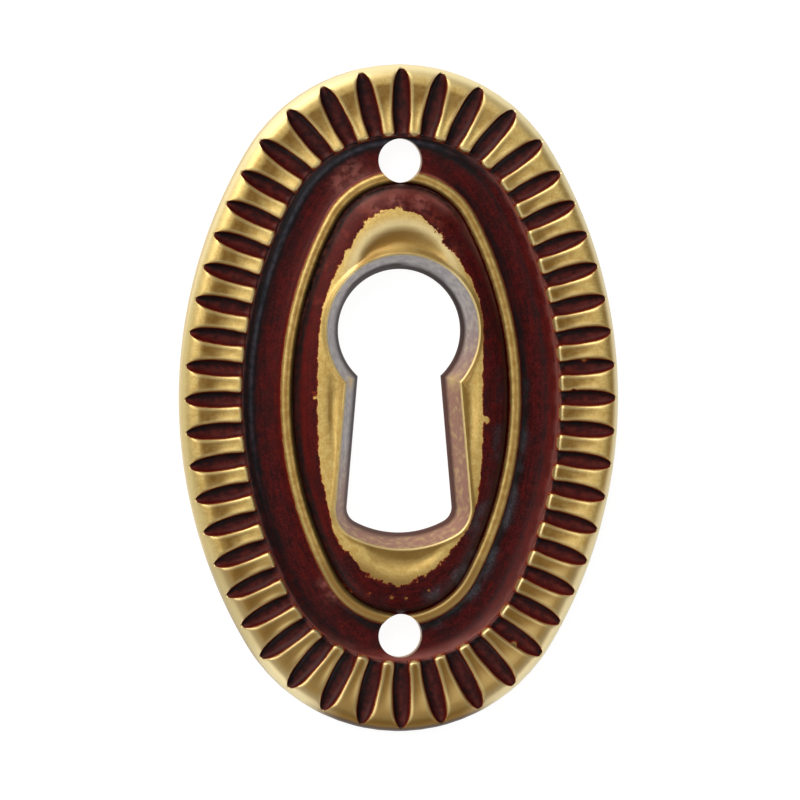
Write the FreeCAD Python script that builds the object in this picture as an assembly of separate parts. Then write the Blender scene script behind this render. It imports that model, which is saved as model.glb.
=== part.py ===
import FreeCAD
import Part
import math
import os

# Oval keyhole escutcheon, pressed in one piece from brass sheet. Millimetres.
# It lies on its back rim at z = 0. +Z comes out of its front, and +Y points to the round end of the
# keyhole. The origin is the centre of the back plane.

# Outline: an oval of four arcs. The end arcs' radius is a share of the width, and the side arcs join
# them smoothly.
plate_length = 38.0
plate_width = 25.12
end_arc_share = 0.4039

# Sheet, and the levels of its front above the back plane
sheet = 0.75
edge_height = 0.95
rib_height = 1.95
channel_height = 1.18
dome_height = 2.3
lip_height = 2.55

# Fluted border, from the turned-down outer edge over a round shoulder to the ribs' inner ends
shoulder_width = 0.85
shoulder_bulge = 0.17
cove_depth = 0.14
rib_end_ease = 0.28
side_border = 3.48
end_border = 3.87

# Flutes: troughs across the border, widest near its middle and open to the channel. They are spaced
# evenly on each arc, and at a join the end arc's spacing reaches over by a share of a pitch.
side_flutes = 15
end_flutes = 9
join_share = 0.23
flute_depth = 0.38
flute_radius = 0.55
flute_tip_radius = 0.24
flute_tip_reach = 0.2
flute_end_reach = 0.5
flute_end_radius = 0.44
flute_widest_share = 0.545

# Channel, polished bead and the groove inside it, measured inwards from the ribs' inner ends
channel_foot_height = 1.34
bead_inset = 2.52
bead_width = 0.56
bead_foot_height = 1.32
bead_height = 1.68
dome_foot_inset = 2.9
dome_foot_height = 1.22

# Domed boss round the keyhole, with a shallow valley inside its crest. The insets are measured
# inwards from the ribs' inner ends, and the valley's width is a share of the crest's half width.
dome_side_width = 1.75
crest_side_inset = 4.58
crest_end_inset = 5.13
valley_share = 0.2
valley_height = 1.98

# Round stretches of the sections are laid as this many flats
shoulder_flats = 3
cove_flats = 2
flute_flats = 5
channel_flats = 3
bead_flats = 3
dome_flats = 4
back_flats = 2

# Keyhole: its clear opening, which ends at these margins from the crest, and its slot, whose sides
# flare down to the corners
top_margin = 2.64
bottom_margin = 2.33
round_radius = 3.51
slot_half_width = 3.02
slot_side_angle = 4.9
bottom_radius = 5.4
corner_radius = 0.9
corner_height = 1.47

# The raised lip round the keyhole and its sloped wall down to the pierced edge
wall_slope = 0.83
lip_land = 0.1
lip_flank = 0.85
lip_foot_height = 1.98
pierced_height = 0.65
collar_foot_height = 0.4
collar_wall = 0.45

# Nail holes on the long axis, centred this far inwards from the ribs' inner ends
nail_hole_diameter = 2.5
nail_hole_inset = 1.6

# How far a cutter reaches past the face that it opens
clear = 1.0

UP = FreeCAD.Vector(0, 0, 1)
ORIGIN = FreeCAD.Vector(0, 0, 0)

# Half sizes, and the places that follow from them
half_plate_width = plate_width / 2
half_plate_length = plate_length / 2
half_field_width = half_plate_width - side_border
half_field_length = half_plate_length - end_border
half_crest_width = half_field_width - crest_side_inset
half_crest_length = half_field_length - crest_end_inset
valley_width = half_crest_width * valley_share
round_centre_y = half_crest_length - top_margin - round_radius
slot_bottom_y = bottom_margin - half_crest_length
nail_hole_y = half_field_length - nail_hole_inset

# The side arcs of every oval on the plate share their two centres, centre_x to either side
end_radius = plate_width * end_arc_share
side_radius = (half_plate_width**2 + half_plate_length**2 - 2 * end_radius * half_plate_length) / (
    2 * (half_plate_width - end_radius)
)
centre_x = side_radius - half_plate_width


def point(x, y, z=0.0):
    return FreeCAD.Vector(x, y, z)


def arc(start, middle, end):
    return Part.Arc(start, middle, end).toShape()


def line(start, end):
    return Part.LineSegment(start, end).toShape()


def lofted(wires):
    return Part.makeLoft(wires, True, True)


def prism(wire, height):
    return Part.Face(wire).extrude(point(0, 0, height))


# Ovals of four arcs

def end_centre(half_width, half_length):
    """Where the centre of an oval's small arc lies on the Y axis."""
    side = half_width + centre_x
    small = (half_width**2 + half_length**2 - 2 * side * half_width) / (2 * (half_length - side))
    return half_length - small


def oval(half_width, half_length, z):
    """A closed wire of four arcs, whose wide arcs are centred centre_x to either side."""
    side = half_width + centre_x
    turn = math.atan2(end_centre(half_width, half_length), centre_x)
    x = side * math.cos(turn) - centre_x
    y = side * math.sin(turn)
    corners = [point(x, -y, z), point(x, y, z), point(-x, y, z), point(-x, -y, z)]
    middles = [
        point(half_width, 0, z),
        point(0, half_length, z),
        point(-half_width, 0, z),
        point(0, -half_length, z),
    ]
    return Part.Wire([arc(corners[i], middles[i], corners[(i + 1) % 4]) for i in range(4)])


def swept_round(section, half_width, half_length):
    """Carries a section round an oval. section(radius) is a face in the XZ plane, with the oval itself
    at that radius from the axis."""
    centre_y = end_centre(half_width, half_length)
    turn = math.degrees(math.atan2(centre_y, centre_x))
    pieces = []
    for half_turn in (0, 180):
        side = section(half_width + centre_x)
        side.rotate(ORIGIN, UP, -turn)
        side = side.revolve(ORIGIN, UP, 2 * turn)
        side.translate(point(-centre_x, 0))
        end = section(half_length - centre_y)
        end.rotate(ORIGIN, UP, turn)
        end = end.revolve(ORIGIN, UP, 180 - 2 * turn)
        end.translate(point(0, centre_y))
        for piece in (side, end):
            piece.rotate(ORIGIN, UP, half_turn)
            pieces.append(piece)
    return pieces[0].fuse(pieces[1:])


def bow(start, middle, end, flats):
    """The places along a round stretch of a section, from start to end."""
    return Part.Arc(start, middle, end).discretize(flats + 1)


def filled(places):
    return Part.Face(Part.makePolygon(places + places[:1]))


# Border

def border_section(radius):
    """The border from its outer edge to past the ribs' inner ends: edge, shoulder and shallow cove."""
    shoulder = radius - shoulder_width
    cove_end = radius - side_border
    inner = radius - end_border - clear
    bulge = point(
        radius - shoulder_width / 2 + shoulder_bulge, 0, (edge_height + rib_height) / 2 + shoulder_bulge
    )
    over_shoulder = bow(
        point(radius, 0, edge_height), bulge, point(shoulder, 0, rib_height), shoulder_flats
    )
    over_cove = bow(
        point(shoulder, 0, rib_height),
        point((shoulder + cove_end) / 2, 0, rib_height - cove_depth),
        point(cove_end, 0, rib_height),
        cove_flats,
    )
    return filled(
        [
            point(radius, 0, 0),
            *over_shoulder,
            *over_cove[1:],
            point(inner, 0, rib_height),
            point(inner, 0, 0),
        ]
    )


def field_opening_section(radius):
    """What the field takes out of the border, flaring at the top to ease the ribs' inner ends."""
    inner = radius - dome_foot_inset
    flare = radius + rib_end_ease
    above = rib_height + clear
    return filled(
        [
            point(radius, 0, 0),
            point(radius, 0, rib_height - rib_end_ease),
            point(flare, 0, rib_height),
            point(flare, 0, above),
            point(inner, 0, above),
            point(inner, 0, 0),
        ]
    )


def trough(x, radius, axis_height):
    """The cross-section of a flute's cutter at x: the lower half of a polygon, open upwards."""
    turns = [math.pi * i / flute_flats for i in range(flute_flats + 1)]
    places = [
        point(x, -radius * math.cos(turn), axis_height - radius * math.sin(turn)) for turn in turns
    ]
    above = axis_height + clear
    return Part.makePolygon([*places, point(x, radius, above), point(x, -radius, above), places[0]])


def flute(border_width):
    """The cutter of one trough along X, which measures from the outline. It runs past the outline and
    past the ribs' inner ends."""
    axis_height = rib_height - cove_depth - flute_depth + flute_radius
    return lofted(
        [
            trough(flute_tip_reach, flute_tip_radius, axis_height),
            trough(-border_width * flute_widest_share, flute_radius, axis_height),
            trough(-border_width - flute_end_reach, flute_end_radius, axis_height),
        ]
    )


def flutes():
    """All troughs: even steps round both wide arcs and both end arcs of the outline."""
    centre_y = half_plate_length - end_radius
    turn = math.degrees(math.atan2(centre_y, centre_x))
    side_pitch = 2 * turn / (side_flutes + join_share)
    end_pitch = (180 - 2 * turn) / (end_flutes - join_share)
    side_flute = flute(side_border)
    side_flute.translate(point(side_radius, 0))
    end_flute = flute(end_border)
    end_flute.translate(point(end_radius, 0))
    cutters = []
    for half_turn in (0, 180):
        for i in range(side_flutes):
            cutter = side_flute.copy()
            cutter.rotate(ORIGIN, UP, (i - (side_flutes - 1) / 2) * side_pitch)
            cutter.translate(point(-centre_x, 0))
            cutter.rotate(ORIGIN, UP, half_turn)
            cutters.append(cutter)
        for i in range(end_flutes):
            cutter = end_flute.copy()
            cutter.rotate(ORIGIN, UP, 90 + (i - (end_flutes - 1) / 2) * end_pitch)
            cutter.translate(point(0, centre_y))
            cutter.rotate(ORIGIN, UP, half_turn)
            cutters.append(cutter)
    return cutters


# Field: channel, bead and groove, then the dome

def dome_side(radius, flats, lowered):
    """The places up the dome's side, a quarter of an ellipse."""
    foot = radius - dome_foot_inset
    turns = [math.pi / 2 * i / flats for i in range(flats + 1)]
    return [
        point(
            foot - dome_side_width * (1 - math.cos(turn)),
            0,
            dome_foot_height - lowered + (dome_height - dome_foot_height) * math.sin(turn),
        )
        for turn in turns
    ]


def field_section(radius):
    """The front of the field from the ribs' inner ends to the top of the dome. The dome starts at the
    bead's inner foot, and the narrow groove is where they meet."""
    bead = radius - bead_inset
    bead_outer = bead + bead_width / 2
    channel = bow(
        point(radius, 0, channel_foot_height),
        point((radius + bead_outer) / 2, 0, channel_height),
        point(bead_outer, 0, bead_foot_height),
        channel_flats,
    )
    over_dome = dome_side(radius, dome_flats, 0)
    over_bead = bow(
        point(bead_outer, 0, bead_foot_height), point(bead, 0, bead_height), over_dome[0], bead_flats
    )
    return filled(
        [point(radius, 0, 0), *channel, *over_bead[1:], *over_dome[1:], point(over_dome[-1].x, 0, 0)]
    )


def dome_back_section(radius):
    """The back of the dome, one sheet thickness lower and further in."""
    over_dome = dome_side(radius - sheet / 2, back_flats, sheet)
    return filled([point(over_dome[0].x, 0, 0), *over_dome, point(over_dome[-1].x, 0, 0)])


def dome_top(inward, height):
    """What fills the flat top of the dome inside its swept side."""
    inset = dome_foot_inset + dome_side_width + inward
    return prism(oval(half_field_width - inset, half_field_length - inset, 0), height)


def valley_section(radius):
    """What the valley takes out of the dome, sloping down inwards from the crest."""
    above = dome_height + clear
    slope = (dome_height - valley_height) / valley_width
    inner = radius - valley_width
    return filled(
        [
            point(inner, 0, valley_height),
            point(radius + clear, 0, dome_height + slope * clear),
            point(radius + clear, 0, above),
            point(inner, 0, above),
        ]
    )


def valley():
    """The shallow dish inside the crest, from which the lip of the keyhole rises."""
    rim = swept_round(valley_section, half_crest_width, half_crest_length)
    inside = oval(half_crest_width - valley_width, half_crest_length - valley_width, valley_height)
    dish = prism(inside, dome_height)
    return rim.fuse(dish)


# Keyhole

def slot(offset, z):
    """The outline of the slot under the keyhole's round end, moved outwards by offset: flared sides,
    round corners and a bowed bottom. It closes across the middle of the round end."""
    flare = point(slot_half_width, slot_bottom_y + corner_height)
    lean = math.radians(slot_side_angle)
    up = point(-math.sin(lean), math.cos(lean))
    outward = point(math.cos(lean), math.sin(lean))
    bottom_centre = point(0, slot_bottom_y + bottom_radius)
    # The corner's centre lies one corner radius inside both the side and the bottom
    start = flare - outward * corner_radius
    reach = bottom_radius - corner_radius
    away = start - bottom_centre
    along = up.dot(away)
    corner_centre = start - up * (along + math.sqrt(along**2 - away.dot(away) + reach**2))
    from_bottom = (corner_centre - bottom_centre).normalize()
    corner_start = corner_centre + outward * (corner_radius + offset)
    corner_middle = corner_centre + (outward + from_bottom).normalize() * (corner_radius + offset)
    corner_end = corner_centre + from_bottom * (corner_radius + offset)
    top = corner_start + up * ((round_centre_y - corner_start.y) / up.y)

    def left(place):
        return point(-place.x, place.y)

    wire = Part.Wire(
        [
            line(top, left(top)),
            line(left(top), left(corner_start)),
            arc(left(corner_start), left(corner_middle), left(corner_end)),
            arc(left(corner_end), bottom_centre - point(0, bottom_radius + offset), corner_end),
            arc(corner_end, corner_middle, corner_start),
            line(corner_start, top),
        ]
    )
    wire.translate(point(0, 0, z))
    return wire


def keyhole(low_offset, low, high_offset, high):
    """A solid in the shape of the keyhole, between two heights, with its sides sloped from one offset
    to the other."""
    centre = point(0, round_centre_y, low)
    if low_offset == high_offset:
        round_end = Part.makeCylinder(round_radius + low_offset, high - low, centre)
    else:
        round_end = Part.makeCone(round_radius + low_offset, round_radius + high_offset, high - low, centre)
    return round_end.fuse(lofted([slot(low_offset, low), slot(high_offset, high)]))


def lip():
    """The raised lip: a flank that rises to a narrow land round the sloped wall."""
    foot = wall_slope + lip_land + lip_flank
    base = keyhole(foot, dome_foot_height, foot, lip_foot_height)
    return base.fuse(keyhole(foot, lip_foot_height, wall_slope + lip_land, lip_height))


def keyhole_opening():
    """The sloped wall's inside, from past the lip down to the pierced edge, and the straight cut below."""
    slope = wall_slope / (lip_height - pierced_height)
    sloped = keyhole(0, pierced_height, wall_slope + slope * clear, lip_height + clear)
    return sloped.fuse(keyhole(0, -clear, 0, pierced_height))


def collar():
    """The drawn wall behind the keyhole, down to its foot."""
    slope = wall_slope / (lip_height - pierced_height)
    spread = slope * (lip_foot_height - collar_foot_height)
    return keyhole(collar_wall, collar_foot_height, collar_wall + spread, lip_foot_height)


# The whole plate

def front_solid():
    """Everything under the front surface, as if the plate were not hollow."""
    border = swept_round(border_section, half_plate_width, half_plate_length)
    opening = swept_round(field_opening_section, half_field_width, half_field_length)
    border = border.cut(opening).cut(flutes())
    field = swept_round(field_section, half_field_width, half_field_length)
    field = field.fuse(dome_top(0, dome_height))
    return border.fuse(field.cut(valley()).fuse(lip()))


def hollow():
    """The space behind the sheet, stepped down under the field and up again under the dome."""
    under_plate = oval(half_plate_width - sheet, half_plate_length - sheet, 0)
    under_field = oval(half_field_width + sheet, half_field_length + sheet, 0)
    border = prism(under_plate, rib_height - sheet).cut(prism(under_field, rib_height))
    dome = swept_round(dome_back_section, half_field_width, half_field_length)
    field = prism(under_field, channel_height - sheet)
    return border.fuse([field, dome, dome_top(sheet / 2, dome_height - sheet)]).cut(collar())


def nail_holes():
    length = rib_height + 2 * clear
    return [
        Part.makeCylinder(nail_hole_diameter / 2, length, point(0, side * nail_hole_y, -clear))
        for side in (-1, 1)
    ]


def build_escutcheon():
    plate = front_solid().cut(hollow())
    return plate.cut([keyhole_opening(), *nail_holes()]).removeSplitter()


if __name__ == "__main__":
    os.makedirs("parts", exist_ok=True)
    build_escutcheon().exportStep("parts/escutcheon_plate.step")
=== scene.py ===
import bpy
import math
import numpy as np
from mathutils import Matrix, Vector


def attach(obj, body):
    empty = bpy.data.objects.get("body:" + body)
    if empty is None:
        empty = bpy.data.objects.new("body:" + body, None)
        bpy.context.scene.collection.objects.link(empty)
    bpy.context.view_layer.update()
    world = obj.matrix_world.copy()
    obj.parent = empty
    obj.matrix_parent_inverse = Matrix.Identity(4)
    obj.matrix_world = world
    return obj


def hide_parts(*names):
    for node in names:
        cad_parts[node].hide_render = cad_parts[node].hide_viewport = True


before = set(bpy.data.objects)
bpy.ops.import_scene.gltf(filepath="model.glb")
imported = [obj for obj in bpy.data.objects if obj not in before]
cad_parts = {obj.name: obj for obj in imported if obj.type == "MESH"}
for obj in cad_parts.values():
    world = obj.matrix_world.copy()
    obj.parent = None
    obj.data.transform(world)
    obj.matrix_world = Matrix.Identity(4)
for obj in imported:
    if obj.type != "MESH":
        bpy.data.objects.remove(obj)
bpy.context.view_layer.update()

# Lengths below are in millimetres and become metres where vertices are placed.
MM = 0.001

# Plate outline: an oval of four arcs, and the ovals of the field and of the dome's crest inside it
HALF_WIDTH, HALF_LENGTH = 12.56, 19.0
END_RADIUS = 10.146
SIDE_RADIUS = (HALF_WIDTH**2 + HALF_LENGTH**2 - 2 * END_RADIUS * HALF_LENGTH) / (
    2 * (HALF_WIDTH - END_RADIUS)
)
CENTRE_X = SIDE_RADIUS - HALF_WIDTH
SHEET = 0.75
SIDE_BORDER, END_BORDER = 3.48, 3.87
# The ribs reach this much further in round the ends of the plate
LONGER_RIBS = 0.18

# Border
EDGE_Z, RIB_Z = 0.95, 1.95
SHOULDER = 0.85
# Each rib is hollowed along its length, less so at its rims
COVE, COVE_START = 0.22, 1.0
FLUTE_FLOOR_Z, SILL_Z = 1.43, 1.52
# Half width of a flute along the way in from the outline: pointed on the sides, blunter round the ends
FLUTE_DEPTHS = [0.17, 0.23, 0.32, 0.43, 0.6, 0.8, 0.97, 1.14, 1.48, 1.82, 2.3, 2.68, 3.02, 3.36, 3.7, 4.2]
SIDE_WIDTHS = [0.0, 0.1, 0.18, 0.25, 0.32, 0.375, 0.41, 0.435, 0.465, 0.48, 0.48, 0.465, 0.425, 0.41, 0.4, 0.4]
END_WIDTHS = [0.0, 0.12, 0.21, 0.29, 0.37, 0.425, 0.465, 0.49, 0.515, 0.525, 0.535, 0.535, 0.52, 0.48, 0.44, 0.43]
SIDE_FLUTES, END_FLUTES, JOIN_SHARE = 15, 9, 0.23
SIDE_CORNER, END_CORNER = 0.27, 0.42
RIB_END_EASE = 0.24

# Field, measured inwards from the ribs' inner ends
LEDGE = 0.14
CHANNEL_Z, CHANNEL_EDGE_Z, CHANNEL_MIDDLE = 1.15, 1.5, 1.05
BEAD_AT, BEAD_HALF, BEAD_FOOT_Z, BEAD_RISE = 2.5, 0.32, 1.38, 0.28
DOME_FOOT, DOME_FOOT_Z, DOME_Z = 2.9, 1.22, 2.38
CREST_SIDE, CREST_END = 4.58, 5.13
# Just inside the crest a hollow drops away and climbs gently to the keyhole's lip
HOLLOW_START, HOLLOW_DROP = 0.2, 0.22

# Keyhole
ROUND_RADIUS, ROUND_Y = 3.51, 3.85
SLOT_HALF, SLOT_FLARE_Y, SLOT_BOTTOM_Y, SLOT_LEAN = 3.02, -6.2, -7.67, math.radians(4.9)
BOTTOM_RADIUS, CORNER_RADIUS = 5.4, 0.9
WALL, LAND = 0.83, 0.1
LIP_Z, PIERCED_Z, COLLAR_FOOT_Z, COLLAR_WALL = 2.55, 0.65, 0.4, 0.45

NAIL_RADIUS, NAIL_Y = 1.25, 13.53

# Columns round the plate for each flute
PER_FLUTE = 16


class Oval:
    """Four arcs; the wide ones are centred CENTRE_X to either side."""

    def __init__(self, half_width, half_length):
        self.side = half_width + CENTRE_X
        self.small = (half_width**2 + half_length**2 - 2 * self.side * half_width) / (
            2 * (half_length - self.side)
        )
        self.end_y = half_length - self.small
        self.turn = math.atan2(self.end_y, CENTRE_X)

    def place(self, turn, inset):
        """The point at a direction of the outline's normal, this far inside."""
        c, s = np.cos(turn), np.sin(turn)
        on_side = np.abs(s) < math.sin(self.turn)
        x = np.where(on_side, np.sign(c) * ((self.side - inset) * np.abs(c) - CENTRE_X), (self.small - inset) * c)
        y = np.where(on_side, (self.side - inset) * s, np.sign(s) * (self.end_y + (self.small - inset) * np.abs(s)))
        return x, y

    def read(self, x, y):
        """How far inside a point lies, and the direction of the normal there, in the first quarter."""
        ax, ay = np.abs(x), np.abs(y)
        side_turn = np.arctan2(ay, ax + CENTRE_X)
        end_turn = np.arctan2(ay - self.end_y, ax)
        on_side = side_turn < self.turn
        inset = np.where(on_side, self.side - np.hypot(ax + CENTRE_X, ay), self.small - np.hypot(ax, ay - self.end_y))
        return inset, np.where(on_side, side_turn, np.maximum(end_turn, self.turn))

    def along(self, turn, inset):
        """Arc length from the X axis to a direction in the first quarter."""
        return (self.side - inset) * np.minimum(turn, self.turn) + (self.small - inset) * np.maximum(
            turn - self.turn, 0
        )

    def turn_at(self, length, inset):
        """The direction at an arc length, the other way round; it runs all round the oval."""
        quarter = self.along(np.full_like(length, math.pi / 2), inset)
        lap = np.floor(length / quarter)
        rest = length - lap * quarter
        odd = np.mod(lap, 2) == 1
        rest = np.where(odd, quarter - rest, rest)
        on_side = (self.side - inset) * self.turn
        turn = np.where(
            rest < on_side, rest / (self.side - inset), self.turn + (rest - on_side) / np.maximum(self.small - inset, 0.01)
        )
        return np.where(odd, (lap + 1) * math.pi / 2 - turn, lap * math.pi / 2 + turn)


OUTLINE = Oval(HALF_WIDTH, HALF_LENGTH)
FIELD = Oval(HALF_WIDTH - SIDE_BORDER, HALF_LENGTH - END_BORDER)
RIB_ENDS = Oval(HALF_WIDTH - SIDE_BORDER, HALF_LENGTH - END_BORDER - LONGER_RIBS)
CREST = Oval(HALF_WIDTH - SIDE_BORDER - CREST_SIDE, HALF_LENGTH - END_BORDER - CREST_END)


# Directions of the flutes in the first quarter
side_pitch = 2 * OUTLINE.turn / (SIDE_FLUTES + JOIN_SHARE)
end_pitch = (math.pi - 2 * OUTLINE.turn) / (END_FLUTES - JOIN_SHARE)
stations = [i * side_pitch for i in range(SIDE_FLUTES // 2 + 1)]
stations += [math.pi / 2 - i * end_pitch for i in range(END_FLUTES // 2, -1, -1)]
stations = np.array(stations)


def smooth(low, high, value):
    t = np.clip((value - low) / (high - low), 0, 1)
    return t * t * (3 - 2 * t)


def soft_max(a, b, blend):
    """The larger of two heights, with a rounded inside corner."""
    h = np.clip(0.5 + 0.5 * (a - b) / blend, 0, 1)
    return b + (a - b) * h + blend * h * (1 - h)


def endness(turn):
    """0 on the outline's sides and 1 round its ends, from a direction in the first quarter."""
    return smooth(OUTLINE.turn - 0.1, OUTLINE.turn + 0.25, turn)


def flute_half(depth, turn):
    side, end = (np.interp(depth, FLUTE_DEPTHS, widths) for widths in (SIDE_WIDTHS, END_WIDTHS))
    return side + (end - side) * endness(turn)


def rib_shape(x, y):
    """Depth from the outline, distance to the nearest flute's line, the flute's half width, distance
    inside the rib's rim (negative in a flute or past the rib's end) and distance past the ribs' ends."""
    depth, turn = OUTLINE.read(x, y)
    past_ribs = RIB_ENDS.read(x, y)[0]
    here = OUTLINE.along(turn, depth)
    gaps = np.sort(np.abs(here[:, None] - np.stack([OUTLINE.along(np.full_like(here, s), depth) for s in stations], 1)), 1)
    half = flute_half(depth, turn)
    across, back = gaps[:, 0] - half, -past_ribs
    rib_half = (gaps[:, 0] + gaps[:, 1]) / 2 - half
    radius = np.minimum(SIDE_CORNER + (END_CORNER - SIDE_CORNER) * endness(turn), rib_half * 0.98)
    corner = radius - np.hypot(radius - across, radius - back)
    inside = np.where((across < radius) & (back < radius), corner, np.minimum(across, back))
    inside = np.where((across < 0) | (back < 0), np.minimum(across, back), inside)
    return depth, gaps[:, 0], half, inside, past_ribs


def keyhole_offset(x, y, eased=False):
    """Distance outside the keyhole's clear opening. Eased, it runs smoothly past the waist's corners."""
    ax = np.abs(x)
    round_end = np.hypot(ax, y - ROUND_Y) - ROUND_RADIUS
    outward = np.array([math.cos(SLOT_LEAN), math.sin(SLOT_LEAN)])
    side = (ax - SLOT_HALF) * outward[0] + (y - SLOT_FLARE_Y) * outward[1]
    dx, dy = ax - slot_corner[0], y - slot_corner[1]
    bottom = np.hypot(ax, y - (SLOT_BOTTOM_Y + BOTTOM_RADIUS)) - BOTTOM_RADIUS
    corner = np.hypot(dx, dy) - CORNER_RADIUS
    past_side = dx * -outward[1] + dy * outward[0] < 0
    past_bottom = dx * corner_to_bottom[1] - dy * corner_to_bottom[0] > 0
    slot = np.where(past_side, np.where(past_bottom, bottom, corner), side)
    slot = np.maximum(slot, y - ROUND_Y)
    nearest = np.minimum(round_end, slot)
    if not eased:
        return nearest
    blend = 1.5 * smooth(0.9, 1.9, nearest)
    near = np.clip(0.5 + 0.5 * (slot - round_end) / np.maximum(blend, 1e-6), 0, 1)
    return np.where(blend > 1e-3, slot + (round_end - slot) * near - blend * near * (1 - near), nearest)


def find_slot_corner():
    """The centre of the slot's rounded corner: one corner radius inside both the side and the bottom."""
    outward = np.array([math.cos(SLOT_LEAN), math.sin(SLOT_LEAN)])
    up = np.array([-math.sin(SLOT_LEAN), math.cos(SLOT_LEAN)])
    centre = np.array([0, SLOT_BOTTOM_Y + BOTTOM_RADIUS])
    start = np.array([SLOT_HALF, SLOT_FLARE_Y]) - outward * CORNER_RADIUS
    away = start - centre
    along = up @ away
    corner = start - up * (along + math.sqrt(along**2 - away @ away + (BOTTOM_RADIUS - CORNER_RADIUS) ** 2))
    to_bottom = (corner - centre) / np.linalg.norm(corner - centre)
    return corner, to_bottom


slot_corner, corner_to_bottom = find_slot_corner()


def front_height(x, y):
    """The front surface over the plate."""
    depth, gap, half, inside, past_ribs = rib_shape(x, y)
    inset = FIELD.read(x, y)[0]
    # Border: shoulder, cove, rounded rims
    over = np.clip(depth / SHOULDER, 0, 1)
    shoulder = EDGE_Z + (RIB_Z - EDGE_Z) * np.sqrt(1 - (1 - over) ** 2)
    along = np.clip((depth - COVE_START) / np.maximum(depth - past_ribs - COVE_START, 0.1), 0, 1)
    cove = COVE * np.sin(np.pi * along) ** 1.3
    rib = shoulder - cove * (0.65 + 0.35 * smooth(0.0, 0.3, gap - half))
    rim = np.clip(inside / 0.14, 0, 1)
    rib = rib - 0.08 * (1 - rim) ** 2 * smooth(0.3, 0.9, depth)
    end = np.clip(-past_ribs / RIB_END_EASE, 0, 1)
    rib = rib - (RIB_Z - CHANNEL_EDGE_Z - 0.1) * (1 - np.sqrt(1 - (1 - end) ** 2))
    # Flutes
    floor = np.interp(depth, [0.15, 0.35, 0.6, 1.0, 1.5], [1.5, 1.55, 1.54, 1.48, FLUTE_FLOOR_Z])
    floor = floor + (SILL_Z - FLUTE_FLOOR_Z) * np.exp(-(((past_ribs + 0.12) / 0.14) ** 2))
    floor = np.minimum(floor, rib)
    bowl = 1 - np.clip(gap / np.maximum(half, 1e-3), 0, 1) ** 2
    fluted = rib - (rib - floor) * np.sqrt(bowl)
    z = np.where(gap < half, fluted, rib)
    # Field
    outer = np.clip(1 - (inset - LEDGE) / (CHANNEL_MIDDLE - LEDGE), 0, 1)
    inner = np.clip((inset - CHANNEL_MIDDLE) / (BEAD_AT - BEAD_HALF - CHANNEL_MIDDLE), 0, 1)
    field = CHANNEL_Z + (CHANNEL_EDGE_Z - CHANNEL_Z) * outer**2 + (BEAD_FOOT_Z - CHANNEL_Z) * inner**2
    on_bead = np.clip((inset - BEAD_AT) / BEAD_HALF, -1, 1)
    crown = BEAD_RISE * np.sqrt(1 - np.abs(on_bead) ** 3) - 0.03 * np.exp(-((on_bead / 0.22) ** 2))
    field = np.where(np.abs(on_bead) < 1, BEAD_FOOT_Z + crown, field)
    groove = np.clip((inset - BEAD_AT - BEAD_HALF) / (DOME_FOOT - BEAD_AT - BEAD_HALF), 0, 1)
    field = np.where(inset > BEAD_AT + BEAD_HALF, BEAD_FOOT_Z + (DOME_FOOT_Z - BEAD_FOOT_Z) * groove, field)
    crest_in = CREST.read(x, y)[0]
    risen = np.clip(inset - DOME_FOOT, 0, None)
    share = np.where(crest_in < 0, risen / np.maximum(risen - crest_in, 1e-6), 1)
    dome = DOME_FOOT_Z + (DOME_Z - DOME_FOOT_Z) * np.sqrt(1 - (1 - share) ** 2)
    to_lip = np.maximum(keyhole_offset(x, y, eased=True) - WALL - LAND, 0)
    inward = np.clip(crest_in - HOLLOW_START, 0, None)
    share = inward / np.maximum(inward + to_lip, 1e-6)
    opened = smooth(0.25, 1.15, inward + to_lip)
    drop = HOLLOW_DROP * (0.5 + 0.5 * smooth(-10.0, -7.5, y))
    lowest = 0.46 + 0.16 * smooth(5.5, 8.0, y)
    fall = 1 - (1 - np.clip(share / lowest, 0, 1)) ** 2
    climb = np.clip((share - lowest) / (1 - lowest), 0, 1)
    hollow = DOME_Z + opened * ((LIP_Z - DOME_Z + drop) * climb**1.3 - drop * fall)
    inner_z = soft_max(np.where(crest_in > 0, hollow, dome), LIP_Z - 1.1 * to_lip, 0.06)
    z = np.where(past_ribs > 0, field, z)
    z = np.where(inset > DOME_FOOT, inner_z, z)
    return np.minimum(z, LIP_Z)


def back_height(x, y):
    """The back surface over the hollow."""
    depth, turn = OUTLINE.read(x, y)
    inset, turn = FIELD.read(x, y)
    foot = DOME_FOOT + SHEET / 2
    share = np.clip((inset - foot) / 1.75, 0, 1)
    dome = DOME_FOOT_Z - SHEET + (DOME_Z - DOME_FOOT_Z) * np.sqrt(1 - (1 - share) ** 2)
    field = CHANNEL_Z - SHEET + (dome - CHANNEL_Z + SHEET) * smooth(foot - 0.1, foot + 0.1, inset)
    step = smooth(-SHEET - 0.09, -SHEET + 0.03, inset)
    return RIB_Z - SHEET + (field - RIB_Z + SHEET) * step


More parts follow.
